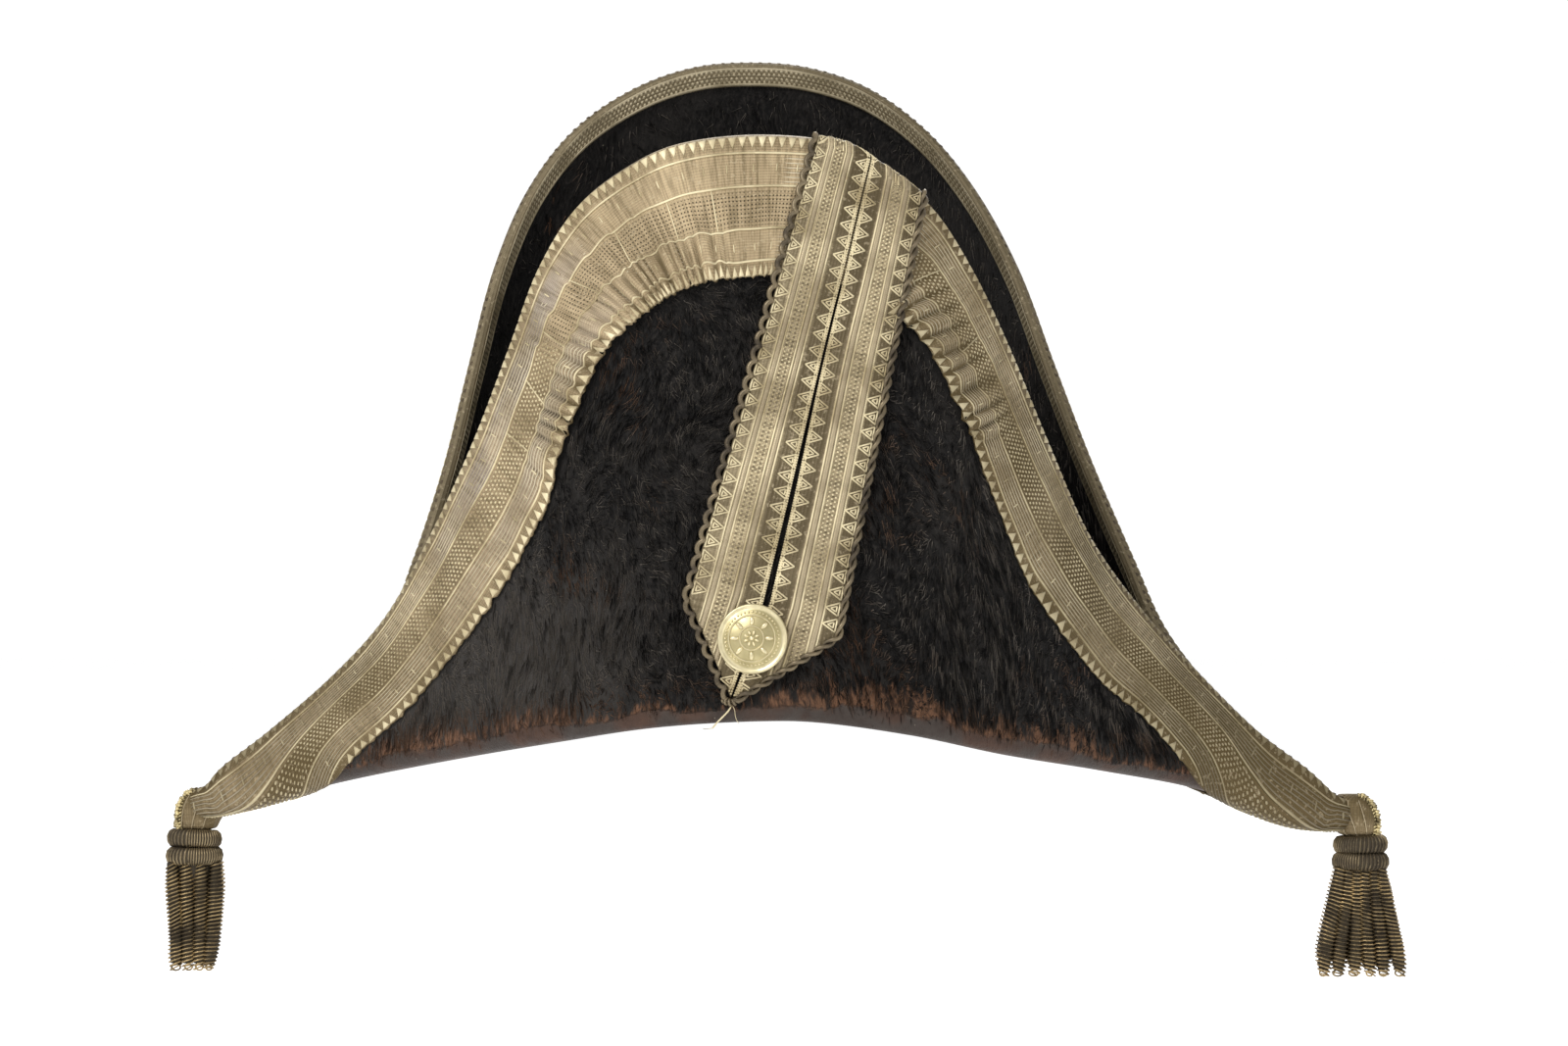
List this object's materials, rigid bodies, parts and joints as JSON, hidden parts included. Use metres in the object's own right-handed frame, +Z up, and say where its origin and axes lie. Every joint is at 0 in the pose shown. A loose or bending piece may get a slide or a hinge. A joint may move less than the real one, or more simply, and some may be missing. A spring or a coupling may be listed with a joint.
{
  "type": "bicorne hat",
  "caption": "felt hat with its brim turned up into a front and a back flap, side horns with hanging tassels, a metal lace border, a slanting lace loop and a brass button",
  "frame": {"origin": "centre of the head opening, level with the rim at the front", "axes": "+X the viewer's right along the hat's length, -Y the front with the loop and button, +Z up"},
  "size_m": [0.4742, 0.2179, 0.3553],
  "materials": {
    "felt": "black short-napped felt, worn brown along the lower fold",
    "lace": "tarnished metal thread lace, woven with lines, dots and toothed edges",
    "lace_dark": "tarnished metal thread lace, darker",
    "cord": "twisted metal thread cord",
    "brass": "satin, lightly tarnished",
    "bullion": "coiled metal thread, dark with bright glints"
  },
  "bodies": {
    "root": {"felt_body": "felt", "front_lace": "lace", "back_lace": "lace_dark", "loop_strip_left": "lace", "loop_strip_right": "lace", "loop_cord_left": "cord", "loop_cord_right": "cord", "button": "brass", "tassel_tab_left": "lace_dark", "tassel_ring_upper_left": "bullion", "tassel_ring_lower_left": "bullion", "tassel_fringe_left": "bullion", "tassel_tab_right": "lace_dark", "tassel_ring_upper_right": "bullion", "tassel_ring_lower_right": "bullion", "tassel_fringe_right": "bullion"}
  },
  "joints": []
}
